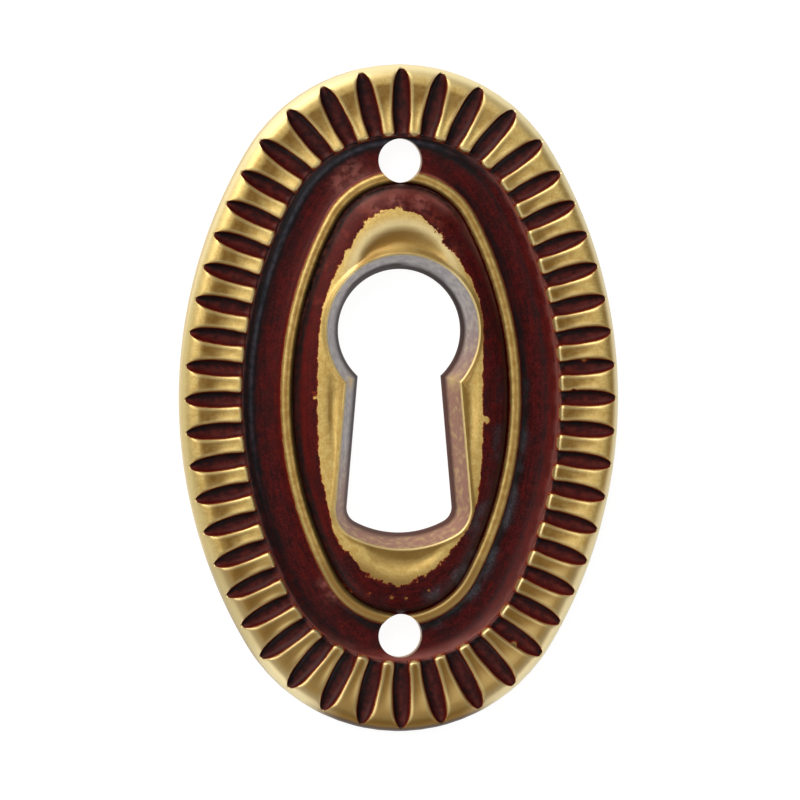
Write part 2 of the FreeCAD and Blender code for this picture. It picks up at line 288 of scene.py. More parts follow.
def keyhole_ring(offset, columns):
    """The keyhole's outline moved outwards, as points at the column numbers given."""
    outward = np.array([math.cos(SLOT_LEAN), math.sin(SLOT_LEAN)])
    up = np.array([-math.sin(SLOT_LEAN), math.cos(SLOT_LEAN)])
    radius = ROUND_RADIUS + offset
    start = np.array([SLOT_HALF, SLOT_FLARE_Y]) + outward * offset - np.array([0, ROUND_Y])
    along = up @ start
    waist = start + up * (-along - math.sqrt(along**2 - start @ start + radius**2)) + np.array([0, ROUND_Y])
    waist_turn = math.atan2(waist[1] - ROUND_Y, waist[0])
    corner_start = slot_corner + outward * (CORNER_RADIUS + offset)
    corner_end = slot_corner + corner_to_bottom * (CORNER_RADIUS + offset)
    bottom_turn = math.atan2(corner_to_bottom[1], corner_to_bottom[0])
    side_turn = SLOT_LEAN
    # Columns of the right half, counted from the flute on the X axis: bottom, corner, side, waist, top
    top = PER_FLUTE * 12
    marks = [-top, -126, -76, 14, top]
    folded = np.where(columns > top, 2 * top - columns, columns)
    t = np.clip((folded - marks[0]) / (marks[1] - marks[0]), 0, 1)
    turn = -math.pi / 2 + (bottom_turn + math.pi / 2) * t
    x = (BOTTOM_RADIUS + offset) * np.cos(turn)
    y = SLOT_BOTTOM_Y + BOTTOM_RADIUS + (BOTTOM_RADIUS + offset) * np.sin(turn)
    t = (folded - marks[1]) / (marks[2] - marks[1])
    turn = bottom_turn + (side_turn - bottom_turn) * t
    on = folded > marks[1]
    x = np.where(on, slot_corner[0] + (CORNER_RADIUS + offset) * np.cos(turn), x)
    y = np.where(on, slot_corner[1] + (CORNER_RADIUS + offset) * np.sin(turn), y)
    t = (folded - marks[2]) / (marks[3] - marks[2])
    on = folded > marks[2]
    x = np.where(on, corner_start[0] + (waist[0] - corner_start[0]) * t, x)
    y = np.where(on, corner_start[1] + (waist[1] - corner_start[1]) * t, y)
    t = (folded - marks[3]) / (marks[4] - marks[3])
    turn = waist_turn + (math.pi / 2 - waist_turn) * t
    on = folded > marks[3]
    x = np.where(on, radius * np.cos(turn), x)
    y = np.where(on, ROUND_Y + radius * np.sin(turn), y)
    return np.where(columns > top, -x, x), y


# Columns: each flute has its own, close at its rims, and one stands between it and the next
count = PER_FLUTE * 48
columns = np.arange(count) - PER_FLUTE * 12
flute_number = np.floor_divide(columns + PER_FLUTE // 2, PER_FLUTE)
place_in_flute = columns - flute_number * PER_FLUTE
all_stations = np.concatenate([-stations[:0:-1], stations, math.pi - stations[-2:0:-1]])
all_stations = np.concatenate([all_stations, [math.pi], math.pi + stations[1:-1]])
first_number = -12


def station_turn(number):
    return all_stations[np.mod(number - first_number, 48)] + 2 * math.pi * np.floor_divide(number - first_number, 48)


def column_turns(depth):
    """The direction of each column at a depth in the border."""
    quarter_turns = station_turn(flute_number)
    folded_turns = np.arcsin(np.clip(np.abs(np.sin(quarter_turns)), 0, 1))
    half = np.maximum(flute_half(depth, folded_turns), 0.12)

    def length_at(turn):
        lap = np.floor(turn / (math.pi / 2) + 1e-9)
        rest = turn - lap * math.pi / 2
        odd = np.mod(lap, 2) == 1
        quarter = OUTLINE.along(np.full_like(turn, math.pi / 2), depth)
        folded = np.where(odd, math.pi / 2 - rest, rest)
        run = OUTLINE.along(folded, depth)
        return lap * quarter + np.where(odd, quarter - run, run)

    here = length_at(quarter_turns)
    before = length_at(station_turn(flute_number - 1))
    after = length_at(station_turn(flute_number + 1))
    sign = np.sign(place_in_flute)
    pitch = np.where(sign < 0, here - before, after - here)
    steps = np.abs(place_in_flute)
    reach = np.select(
        [steps == 0, steps == 1, steps == 2, steps == 3, steps == 4, steps == 5, steps == 6, steps == 7, steps == 8],
        [0 * half, 0.34 * half, 0.66 * half, 0.89 * half, half, half + 0.045, half + 0.12, half + 0.22, pitch / 2],
    )
    return OUTLINE.turn_at(here + sign * np.minimum(reach, pitch / 2), depth)


def field_edge_depth(share):
    """Rings of the border: the depth on each column's line at the ribs' ends. The share is not used."""
    depth = np.full(count, SIDE_BORDER)
    for again in range(12):
        x, y = OUTLINE.place(column_turns(depth), depth)
        depth = depth - RIB_ENDS.read(x, y)[0]
    return depth


rings = []


def add_ring(x, y, z):
    rings.append(np.stack([np.broadcast_to(x, count), np.broadcast_to(y, count), np.broadcast_to(z, count)], 1))


def full_turn(x, y, oval):
    """The direction of an oval's normal at points all round it."""
    inset, turn = oval.read(x, y)
    turn = np.where(x < 0, math.pi - turn, turn)
    return np.where(y < 0, -turn, turn)


edge_depth = field_edge_depth(1)
edge_x, edge_y = OUTLINE.place(column_turns(edge_depth), edge_depth)
edge_turn = np.unwrap(full_turn(edge_x, edge_y, RIB_ENDS))
even = flute_number * PER_FLUTE
centre_columns = np.arange(0, count + 1, PER_FLUTE)
wrapped = np.append(edge_turn, edge_turn[0] + 2 * math.pi)
even_turn = np.interp(np.arange(count), centre_columns, wrapped[centre_columns])


def border_ring(depth):
    return OUTLINE.place(column_turns(depth), depth)


def field_ring(inset):
    turn = edge_turn + (even_turn - edge_turn) * min(max(inset / 2.0, 0), 1)
    inner, outer = FIELD.place(turn, inset), RIB_ENDS.place(turn, inset)
    share = smooth(0.0, 0.55, inset)
    return outer[0] + (inner[0] - outer[0]) * share, outer[1] + (inner[1] - outer[1]) * share


def between_ring(inset, offset, share):
    """A ring between an oval of the field and the keyhole's outline moved outwards."""
    ax, ay = field_ring(inset)
    bx, by = keyhole_ring(offset, columns)
    return ax + (bx - ax) * share, ay + (by - ay) * share


# Outer edge, then over the border
for depth, z in ((0.05, 0.0), (0.0, 0.05), (0.0, 0.5), (0.0, 0.9)):
    x, y = border_ring(np.full(count, depth))
    add_ring(x, y, z)
for share in (0.0, 0.008, 0.03, 0.07, 0.13, 0.21, 0.31, 0.42, 0.55, 0.7, 0.86):
    x, y = border_ring(np.full(count, SHOULDER * share))
    add_ring(x, y, front_height(x, y))
for share in (0.0, 0.05, 0.11, 0.18, 0.26, 0.34, 0.43, 0.52, 0.61, 0.7, 0.78, 0.85):
    x, y = border_ring(SHOULDER + (edge_depth - SHOULDER) * share)
    add_ring(x, y, front_height(x, y))
for back in (0.27, 0.2, 0.14, 0.09, 0.05, 0.02, 0.004):
    x, y = border_ring(edge_depth - back)
    add_ring(x, y, front_height(x, y))

# Channel, bead and groove
for inset in (0.01, 0.08, 0.14, 0.2, 0.32, 0.5, 0.7, 0.9, 1.12, 1.35, 1.6, 1.85, 2.08, 2.2):
    x, y = field_ring(inset)
    add_ring(x, y, front_height(x, y))
for share in (-0.999, -0.93, -0.78, -0.55, -0.28, 0.0, 0.28, 0.55, 0.78, 0.93, 0.999):
    x, y = field_ring(BEAD_AT + BEAD_HALF * share)
    add_ring(x, y, front_height(x, y))
for inset in (2.84, 2.89):
    x, y = field_ring(inset)
    add_ring(x, y, front_height(x, y))

# Dome and lip
for share in (0.004, 0.012, 0.03, 0.06, 0.1, 0.15, 0.21, 0.27, 0.33, 0.39, 0.45, 0.51, 0.57, 0.63, 0.69, 0.75, 0.81,
              0.87, 0.93, 1.0):
    x, y = between_ring(DOME_FOOT, WALL + LAND + 0.27, share)
    add_ring(x, y, front_height(x, y))
for offset in (0.2, 0.14, 0.09, 0.045, 0.0):
    x, y = keyhole_ring(WALL + LAND + offset, columns)
    add_ring(x, y, front_height(x, y))
for offset, z in ((0.9, 2.548), (0.865, 2.535), (0.83, 2.505), (0.8, 2.46), (0.76, 2.38), (0.68, 2.2), (0.58, 1.98), (0.45, 1.68),
                  (0.3, 1.34), (0.16, 1.02), (0.05, 0.76), (0.0, 0.62), (0.0, 0.5), (0.02, 0.41)):
    x, y = keyhole_ring(offset, columns)
    add_ring(x, y, z)

# Back: the collar's foot and outside, the dome, the field, the border and the inside of the edge
for offset, z in ((0.06, 0.4), (0.42, 0.4), (0.46, 0.44), (0.56, 0.65), (0.7, 0.95)):
    x, y = keyhole_ring(offset, columns)
    add_ring(x, y, z)
for share in (0.0, 0.06, 0.25, 0.5, 0.7, 0.84, 1.0):
    x, y = between_ring(3.1, 0.82, 1 - share)
    add_ring(x, y, back_height(x, y))
for inset in (2.5, 0.6, -0.6, -0.71, -0.75, -0.79, -0.85):
    x, y = field_ring(inset)
    add_ring(x, y, back_height(x, y))
for depth, z in ((0.85, 1.2), (0.77, 1.17), (0.75, 1.1), (0.75, 0.05), (0.7, 0.0)):
    x, y = border_ring(np.full(count, depth))
    add_ring(x, y, z)


def only(piece):
    """Makes a piece the only one selected."""
    bpy.ops.object.select_all(action="DESELECT")
    piece.select_set(True)
    bpy.context.view_layer.objects.active = piece


def build_plate():
    """A grid laid round the plate, ring by ring, and welded along both seams."""
    bpy.ops.object.select_all(action="DESELECT")
    bpy.ops.mesh.primitive_grid_add(x_subdivisions=count, y_subdivisions=len(rings), size=2)
    plate = bpy.context.object
    plate.name = "escutcheon"
    mesh = plate.data
    flat = np.empty(len(mesh.vertices) * 3)
    mesh.vertices.foreach_get("co", flat)
    flat = flat.reshape(-1, 3)
    column = np.rint((flat[:, 0] + 1) / 2 * count).astype(int) % count
    row = np.rint((flat[:, 1] + 1) / 2 * len(rings)).astype(int) % len(rings)
    places = np.stack(rings)[row, column] * MM
    mesh.vertices.foreach_set("co", places.ravel())
    mesh.update()
    only(plate)
    bpy.ops.object.mode_set(mode="EDIT")
    bpy.ops.mesh.select_all(action="SELECT")
    bpy.ops.mesh.remove_doubles(threshold=2e-7)
    bpy.ops.mesh.normals_make_consistent(inside=False)
    bpy.ops.object.mode_set(mode="OBJECT")
    return plate


def pierce(plate):
    """Cuts the two nail holes."""
    for end in (-1, 1):
        bpy.ops.mesh.primitive_cylinder_add(vertices=72, radius=NAIL_RADIUS * MM, depth=8 * MM, location=(0, end * NAIL_Y * MM, 1 * MM))
        drill = bpy.context.object
        only(plate)
        cut = plate.modifiers.new("nail_hole", "BOOLEAN")
        cut.operation = "DIFFERENCE"
        cut.solver = "MANIFOLD"
        cut.object = drill
        bpy.ops.object.modifier_apply(modifier=cut.name)
        bpy.data.objects.remove(drill, do_unlink=True)


plate = build_plate()
pierce(plate)
only(plate)
bpy.ops.object.shade_smooth_by_angle(angle=math.radians(50))
print("faces", len(plate.data.polygons), "triangles", sum(len(p.vertices) - 2 for p in plate.data.polygons))

# Where the lacquer has been rubbed off the boss, as places in the photograph's 800 by 800 frame
WORN_EDGE = [
    (400, 210), (385, 213), (368, 220), (360, 233), (353, 248), (342, 265), (333, 284), (325.5, 305), (322, 324),
    (320, 344), (319, 400), (320, 450), (323, 475), (328, 498), (335, 530), (343, 545), (352, 554), (362, 568),
    (372, 575), (385, 583), (399, 585), (412, 583), (426, 573), (440, 565), (450, 554), (460, 540), (468, 530),
    (474, 515), (479, 498), (482, 470), (483, 450), (483, 400), (484, 344), (483.5, 324), (480, 300), (474, 284),
    (462, 265), (449, 249), (440, 235), (429, 224), (415, 214),
]
# Small marks, each with its radius in millimetres: gold showing through, and lacquer left on the gold
GOLD_MARKS = [
    (485, 419, 0.16), (487, 422, 0.08), (587, 361, 0.12), (515.5, 645.5, 0.17), (345, 587, 0.05), (352, 592, 0.04),
    (316, 398, 0.09), (314, 392, 0.05), (371, 592, 0.05), (392, 597, 0.05), (407, 598, 0.04), (430, 590, 0.05),
]
LACQUER_MARKS = [
    (283, 518, 0.06), (575, 391, 0.1), (583, 392, 0.08), (590, 391, 0.06), (262, 392, 0.03), (515, 398, 0.04),
    (288, 300, 0.04), (301, 268, 0.03), (366, 640, 0.03), (502, 302, 0.04),
]
# Painted sheen on the lacquer: pale pinkish reflections, and bluish grey ones
PINK_MARKS = [(353, 173, 0.75), (344, 184, 0.6), (335, 594, 0.45), (422, 202, 0.6), (396, 200, 0.6), (376, 208, 0.4), (327, 583, 0.3)]
GREY_MARKS = [(447, 579, 0.5), (456, 566, 0.4), (440, 592, 0.35), (470, 572, 0.5), (462, 590, 0.5), (478, 552, 0.45)]
# Where the lacquer is thin on the boss and its red shows
RED_MARKS = [(368, 211, 0.5), (344, 238, 0.45), (327, 265, 0.4), (318, 300, 0.3), (436, 222, 0.45), (458, 250, 0.3)]
PHOTO_CENTRE = (399.12, 398.11)
PHOTO_MM = 0.05702
LEAN_X, LEAN_Y = math.radians(7), math.radians(2)


def from_photo(px, py, z):
    """A place on the plate, in millimetres, from its place in the photograph and its height."""
    x = (px - PHOTO_CENTRE[0]) * PHOTO_MM / math.cos(LEAN_X) - z * math.tan(LEAN_X)
    y = (PHOTO_CENTRE[1] - py) * PHOTO_MM / math.cos(LEAN_Y) + z * math.tan(LEAN_Y)
    return x, y


def inside_outline(x, y, outline):
    """Signed distance to a closed outline, positive inside."""
    nearest = np.full(len(x), 1e9)
    inside = np.zeros(len(x), bool)
    for (ax, ay), (bx, by) in zip(outline, outline[1:] + outline[:1]):
        dx, dy = bx - ax, by - ay
        t = np.clip(((x - ax) * dx + (y - ay) * dy) / (dx * dx + dy * dy), 0, 1)
        nearest = np.minimum(nearest, np.hypot(x - ax - t * dx, y - ay - t * dy))
        crosses = (ay > y) != (by > y)
        at = ax + (y - ay) / (dy if dy else 1e-9) * dx
        inside ^= crosses & (x < at)
    return np.where(inside, nearest, -nearest)


def write_attributes(plate):
    mesh = plate.data
    flat = np.empty(len(mesh.vertices) * 3)
    mesh.vertices.foreach_get("co", flat)
    x, y, z = (flat.reshape(-1, 3) / MM).T
    depth, gap, half, inside, past_ribs = rib_shape(x, y)
    inset = FIELD.read(x, y)[0]
    on_border = past_ribs < 0.02
    offset = keyhole_offset(x, y)
    top = front_height(x, y)
    worn = [from_photo(px, py, 2.2) for px, py in WORN_EDGE]
    collar = inside_outline(x, y, worn)
    turn = full_turn(x, y, FIELD)
    wider = 0.05 * smooth(0.0, 0.5, -np.cos(turn))
    bead = BEAD_HALF - 0.02 + wider - np.abs(inset - BEAD_AT - wider)
    rub = np.where(inset < 0.4, inside, np.where(inset < DOME_FOOT, bead, collar))
    rub = np.where((inset >= 0.4) & (inset < 1.9), -1.0, rub)
    rub = np.where(depth < 0.25, 0.3, rub)
    for px, py, radius in GOLD_MARKS:
        mx, my = from_photo(px, py, 1.8)
        rub = np.maximum(rub, radius - np.hypot(x - mx, y - my))
    for px, py, radius in LACQUER_MARKS:
        mx, my = from_photo(px, py, 1.8)
        rub = np.minimum(rub, np.hypot(x - mx, y - my) - radius)
    fray = 0.08 + 0.16 * smooth(7.0, 9.6, np.abs(y + 0.1))
    ragged = np.where(inset < 0.3, 0.02, np.where(inset < DOME_FOOT, 0.03, fray))
    # How steeply the surface leans towards the upper left, less than nothing when it leans away
    step = 0.03
    lean_x = front_height(x + step, y) - front_height(x - step, y)
    lean_y = front_height(x, y + step) - front_height(x, y - step)
    facing = (0.6 * lean_x - 0.8 * lean_y) / (2 * step)
    upward = -lean_y / (2 * step)
    # Painted shadow: black under the ribs' ends at the upper left and left, in a band across the channel on the right,
    # in the groove inside the bead at the upper left, and beside the bead at the lower right and right
    lower_right = 0.6 * np.cos(turn) - 0.8 * np.sin(turn)
    shaded_side = np.maximum(smooth(-0.2, 0.5, -lower_right), 0.65 * smooth(0.1, 0.6, -np.cos(turn)))
    black = (1 - smooth(0.72, 1.0, inset)) * smooth(-0.02, 0.08, past_ribs) * shaded_side
    beside_bead = np.maximum(smooth(0.0, 0.6, lower_right), 0.75 * smooth(0.25, 0.75, np.cos(turn)))
    black = black + smooth(1.5, 1.85, inset) * (inset < BEAD_AT - BEAD_HALF + 0.02) * beside_bead
    black = black + 0.55 * np.exp(-(((inset - 0.75) / 0.16) ** 2)) * smooth(0.2, 0.7, np.cos(turn))
    groove = (inset > BEAD_AT + BEAD_HALF - 0.02) * (1 - smooth(3.16, 3.34, inset))
    black = black + groove * smooth(-0.6, 0.4, -lower_right)
    # Painted shade makes the flutes near black along their edges and on the side turned from the upper left, and
    # darker all through, more so round the ends; painted light makes them redder down the middle on the side that
    # faces the upper left
    in_flute = (gap < half) & (past_ribs < 0) & (depth > 0.2)
    across = gap / np.maximum(half, 1e-3)
    black = black + in_flute * (0.35 * smooth(0.6, 0.95, across) + 0.85 * smooth(-0.1, 0.5, -facing))
    black = black + in_flute * (0.2 + 0.25 * endness(OUTLINE.read(x, y)[1]))
    glow = in_flute * (1 - smooth(0.1, 0.6, across)) * smooth(-0.35, 0.1, facing)
    for px, py, radius in RED_MARKS:
        mx, my = from_photo(px, py, 1.8)
        glow = np.maximum(glow, 1.3 * np.exp(-((x - mx) ** 2 + (y - my) ** 2) / radius**2))
    # Painted shade in each rib's hollow, at the end that turns away from the upper left
    away = -0.75 * np.cos(turn) + 0.66 * np.sin(turn)
    start = 0.84 + 0.14 * smooth(0.3, 0.9, np.sin(turn))
    run = (depth - start) / np.maximum(depth - past_ribs - start, 0.1)
    outer_end = smooth(0.0, 0.08, run) * (1 - smooth(0.25, 0.75, run)) * smooth(-0.1, 0.5, away)
    inner_end = smooth(0.12, 0.24, -past_ribs) * (1 - smooth(0.65, 2.8, -past_ribs)) * smooth(-0.1, 0.5, -away)
    scoop = np.maximum(outer_end, inner_end) * smooth(0.03, 0.17, gap - half) * on_border
    # Painted reflections: a blue-grey glint along the black band at the upper left, and bluish grey sheen patches on
    # the lacquer at the lower right and at the grey marks
    glint = 0.9 * np.exp(-(((inset - 0.5) / 0.1) ** 2)) * smooth(0.3, 0.8, -lower_right)
    sheen_patches = np.exp(-(((inset - 1.85) / 0.2) ** 2)) + 0.6 * np.exp(-(((inset - 3.5) / 0.3) ** 2))
    sheen_patches = sheen_patches * smooth(0.45, 0.9, lower_right)
    pink, grey = np.zeros(len(x)), np.zeros(len(x))
    for px, py, radius in PINK_MARKS:
        mx, my = from_photo(px, py, 1.8)
        pink = np.maximum(pink, np.exp(-((x - mx) ** 2 + (y - my) ** 2) / radius**2))
    for px, py, radius in GREY_MARKS:
        mx, my = from_photo(px, py, 1.8)
        grey = np.maximum(grey, np.exp(-((x - mx) ** 2 + (y - my) ** 2) / radius**2))
    sheen_patches = np.maximum(sheen_patches, grey)
    # Painted highlight on the ledge between the flutes' mouths and the channel: pinkish where it faces the light at
    # the lower right, and round the flutes' mouths
    ledge = np.exp(-(((past_ribs - 0.05) / 0.08) ** 2)) * smooth(-0.5, 0.1, lower_right)
    mouths = np.exp(-(((past_ribs - 0.02) / 0.16) ** 2)) * smooth(-0.1, 0.1, half - gap)
    ledge = np.maximum(ledge, mouths * (0.5 + 0.4 * smooth(-0.6, 0.0, lower_right)))
    # Painted highlight: the brightest gold, along the top of the crest
    crest_in = CREST.read(x, y)[0]
    crown = np.exp(-(((crest_in - 0.03) / 0.3) ** 2)) * smooth(5.5, 8.5, y) * (inset > DOME_FOOT)
    boss = (inset > DOME_FOOT).astype(float)
    on_wall = ((offset < WALL - 0.01) & (z > 0.45)).astype(float)
    surface = np.where(offset < WALL, PIERCED_Z + (LIP_Z - PIERCED_Z) * offset / WALL, top)
    behind = ((z < surface - 0.2) & (offset > 0.01) & (depth > 0.06)).astype(float)
    # Painted highlight on the outer shoulder, reaching further in at the top and the bottom and weaker at the far
    # left; painted shade on the bottom edge, which faces down
    outer_turn = full_turn(x, y, OUTLINE)
    low = smooth(0.84, 0.94, -np.sin(outer_turn))
    rise = np.sin(outer_turn)
    reach = 0.5 + 0.5 * np.maximum(smooth(0.3, 0.85, rise), smooth(0.1, 0.45, -rise))
    edge = (1 - smooth(0.08, reach, depth)) * smooth(0.9, 1.35, z) * (1 - low)
    edge = edge * (1.0 - 0.4 * smooth(0.75, 1.0, -np.cos(outer_turn)))
    under = low * (1 - smooth(0.14, 0.36, depth))
    # Painted highlights, partly polish wear: pale rims round the ribs and along both sides of the bead
    rim = np.exp(-(((inside - 0.1) / 0.08) ** 2)) * on_border * smooth(0.4, 0.8, depth)
    rim = rim * (0.45 + 0.55 * smooth(0.45, 0.15, -past_ribs))
    on_bead = (np.abs(inset - BEAD_AT) < BEAD_HALF).astype(float)
    rim = np.maximum(rim, 0.25 * np.exp(-(((bead - 0.1) / 0.06) ** 2)) * on_bead)
    # A darker line down the middle of the bead
    bead_centre_line = np.exp(-(((inset - BEAD_AT + 0.02) / 0.045) ** 2))
    # Painted shade: the dark crescent under the top of the crest, and shadow inside the crest towards both ends and
    # outside it below its lower end
    crescent = smooth(0.22, 0.42, crest_in) * (1 - smooth(0.95, 1.5, crest_in)) * (y > 0)
    crescent = crescent * smooth(-4.2, -2.4, x) * (1 - smooth(-0.2, 2.2, x))
    shadow = smooth(0.2, 0.6, crest_in) * smooth(3.5, 7.5, np.abs(y))
    shadow = np.maximum(shadow, 1.5 * smooth(0.2, -0.5, crest_in) * smooth(-8.5, -9.8, y))
    # Painted highlight along the keyhole's lip
    rim = np.maximum(rim, np.exp(-(((offset - WALL - 0.02) / 0.07) ** 2)))
    # On the keyhole's wall: how far towards its warm lower right, away from the pale grey painted reflection at the
    # upper left, the dark line along its foot, and a painted highlight at the waist's corners
    aside = (x * 0.72 - (y + 0.6) * 0.7) / np.hypot(x, y + 0.6)
    warm = smooth(-0.35, 0.45, aside)
    foot = 0.16 + 0.08 * smooth(1.5, 3.3, y - ROUND_Y) + 0.08 * smooth(0.5, -0.5, x)
    dark_foot = (1 - smooth(foot, foot + 0.1, offset)) * (z > 0.45)
    waist = np.exp(-((np.hypot(np.abs(x) - 2.7, y - 1.0) / 0.42) ** 2)) * smooth(0.2, 0.45, offset)
    ring = OUTLINE.along(OUTLINE.read(x, y)[1], depth)
    # Streaks follow the ribs on the border and run round the plate inside it
    lie = np.stack([np.where(inset < 0, ring * 9, inset * 6), np.where(inset < 0, depth * 1.6, ring * 0.6), z * 0], 1)
    for name, values in (("rub", rub), ("ragged", ragged), ("wall", on_wall), ("behind", behind),
                         ("edge", edge), ("rim", rim), ("warm", warm), ("dark_foot", dark_foot), ("waist", waist), ("facing", facing), ("upward", upward),
                         ("black", black), ("glint", glint), ("sheen_patches", sheen_patches), ("ledge", ledge),
                         ("crown", crown), ("boss", boss), ("field", 1.0 - on_border), ("under", under),
                         ("glow", glow), ("scoop", scoop), ("bead_centre_line", bead_centre_line), ("crescent", crescent),
                         ("bead", on_bead), ("pink", pink), ("shadow", shadow)):
        layer = mesh.attributes.new(name, "FLOAT", "POINT")
        layer.data.foreach_set("value", np.asarray(values, np.float32))
    layer = mesh.attributes.new("lie", "FLOAT_VECTOR", "POINT")
    layer.data.foreach_set("vector", np.asarray(lie, np.float32).ravel())


write_attributes(plate)


def linear(code):
    """A hex sRGB colour as linear RGBA."""
    parts = [int(code[i:i + 2], 16) / 255 for i in (0, 2, 4)]
    return [p / 12.92 if p <= 0.04045 else ((p + 0.055) / 1.055) ** 2.4 for p in parts] + [1]


def add_node(tree, kind, inputs=(), **settings):
    """Adds a node, with its settings and its inputs: a socket is linked and a value is set."""
    node = tree.nodes.new(kind)
    for name, value in settings.items():
        setattr(node, name, value)
    for key, value in dict(inputs).items():
        if isinstance(value, bpy.types.NodeSocket):
            tree.links.new(value, node.inputs[key])
        else:
            node.inputs[key].default_value = value
    return node


def new_material(name):
    material = bpy.data.materials.new(name)
    material.use_nodes = True
    tree = material.node_tree
    for node in list(tree.nodes):
        tree.nodes.remove(node)
    return material, tree


def antiqued_brass():
    """Pressed brass with dark red lacquer left in the recesses: satin gold on the raised parts, and a glossy wine-red
    to black in the grooves, with a worn, ragged edge between them. Much of the black and of the brown on the gold is
    painted shade, and the pale rims, the pale shoulder and the pink and bluish sheens are painted highlights and
    reflections."""
    material, tree = new_material("antiqued_pressed_brass")

    def value(name):
        return add_node(tree, "ShaderNodeAttribute", attribute_name=name).outputs["Fac"]

    def math_node(operation, a, b=0.0, clamp=False):
        return add_node(tree, "ShaderNodeMath", {0: a, 1: b}, operation=operation, use_clamp=clamp).outputs[0]

    def mix(factor, a, b):
        node = add_node(tree, "ShaderNodeMix", {"Factor": factor}, data_type="RGBA")
        for index, colour in ((6, a), (7, b)):
            if isinstance(colour, bpy.types.NodeSocket):
                tree.links.new(colour, node.inputs[index])
            else:
                node.inputs[index].default_value = colour
        return node.outputs[2]

    def ramp(source, low, high, to_low=0.0, to_high=1.0, kind="SMOOTHSTEP"):
        return add_node(
            tree, "ShaderNodeMapRange",
            {"Value": source, "From Min": low, "From Max": high, "To Min": to_low, "To Max": to_high},
            interpolation_type=kind,
        ).outputs["Result"]

    def noise(vector, scale, detail=3.0, roughness=0.5):
        return add_node(
            tree, "ShaderNodeTexNoise",
            {"Vector": vector, "Scale": scale, "Detail": detail, "Roughness": roughness},
        ).outputs["Fac"]

    place = add_node(tree, "ShaderNodeTexCoord").outputs["Object"]
    lie = add_node(tree, "ShaderNodeAttribute", attribute_name="lie").outputs["Vector"]
    grain = noise(lie, 1.0, 4.0, 0.6)
    fine = noise(place, 9000, 3.0, 0.6)
    broad = noise(place, 700, 3.0, 0.5)
    blotch = noise(place, 2600, 2.0, 0.5)
    ragged = noise(place, 2000, 6.0, 0.72)

    shift = math_node("MULTIPLY", math_node("SUBTRACT", ragged, 0.5), math_node("MULTIPLY", value("ragged"), 5.0))
    worn = math_node("ADD", value("rub"), shift)
    rubbed = ramp(worn, -0.02, 0.025)

    lit, shaded = ramp(value("facing"), 0.04, 0.4), ramp(value("facing"), -0.04, -0.4)
    speckle = math_node("ADD", math_node("MULTIPLY", grain, 0.4), math_node("MULTIPLY", fine, 0.6))
    gold = mix(ramp(speckle, 0.36, 0.64), linear("C6A458"), linear("D8BE76"))
    gold = mix(ramp(blotch, 0.42, 0.68, 0.0, 0.42), gold, linear("B68A3E"))
    gold = mix(math_node("MULTIPLY", value("bead"), ramp(blotch, 0.35, 0.65, 0.25, 0.7)), gold, linear("A07C3A"))
    gold = mix(math_node("MULTIPLY", value("shadow"), 0.6), gold, linear("94743A"))
    gold = mix(math_node("MULTIPLY", shaded, ramp(value("boss"), 0, 1, 0.6, 0.5)), gold, linear("936A26"))
    scoop = math_node("MULTIPLY", value("scoop"), ramp(blotch, 0.3, 0.7, 0.7, 0.95))
    gold = mix(math_node("MAXIMUM", scoop, math_node("MULTIPLY", value("crescent"), 0.78)), gold, linear("8A6220"))
    bright = math_node("SUBTRACT", ramp(value("boss"), 0, 1, 0.38, 0.15), math_node("MULTIPLY", value("bead"), 0.3), True)
    gold = mix(math_node("MULTIPLY", lit, bright), gold, linear("DCC88A"))
    gold = mix(math_node("MULTIPLY", value("rim"), 0.6), gold, linear("E8D8A4"))
    gold = mix(math_node("MULTIPLY", value("crown"), 0.75), gold, linear("F0DDA8"))
    # Painted highlight and reflection on the outer shoulder, palest on the side turned from the upper left
    pale = mix(ramp(value("facing"), -0.3, 0.6), linear("FFEFBC"), linear("C4B57E"))
    pale = mix(ramp(value("upward"), 0.2, 0.8), pale, linear("F8E8B4"))
    gold = mix(math_node("MULTIPLY", value("edge"), 0.9), gold, pale)
    gold = mix(math_node("MULTIPLY", value("bead_centre_line"), 0.6), gold, linear("8A5A1E"))
    # Painted shade along the bottom edge
    gold = mix(math_node("MULTIPLY", value("under"), 0.95), gold, linear("3E260E"))
    streaks = math_node("ADD", math_node("MULTIPLY", grain, 0.4), math_node("MULTIPLY", blotch, 0.25))
    streaks = math_node("ADD", streaks, math_node("MULTIPLY", fine, 0.35))
    lacquer = mix(ramp(streaks, 0.36, 0.62), linear("260304"), linear("4E0A06"))
    lacquer = mix(ramp(broad, 0.45, 0.62, 0.0, 0.45), lacquer, linear("18080A"))
    lacquer = mix(ramp(fine, 0.5, 0.8, 0.0, 0.08), lacquer, linear("705A5A"))
    # Painted sheen: pinkish where the lacquer faces up, on the ledge and at the pink marks
    pink_sheen = math_node("MULTIPLY", ramp(value("upward"), 0.2, 0.8), ramp(broad, 0.35, 0.65, 0.3, 0.8))
    pink_sheen = math_node("MULTIPLY", pink_sheen, value("field"))
    pink_sheen = math_node("MAXIMUM", pink_sheen, math_node("MULTIPLY", value("ledge"), 0.6))
    pink_sheen = math_node("MAXIMUM", pink_sheen, math_node("MULTIPLY", value("pink"), ramp(blotch, 0.35, 0.65, 0.15, 0.75)))
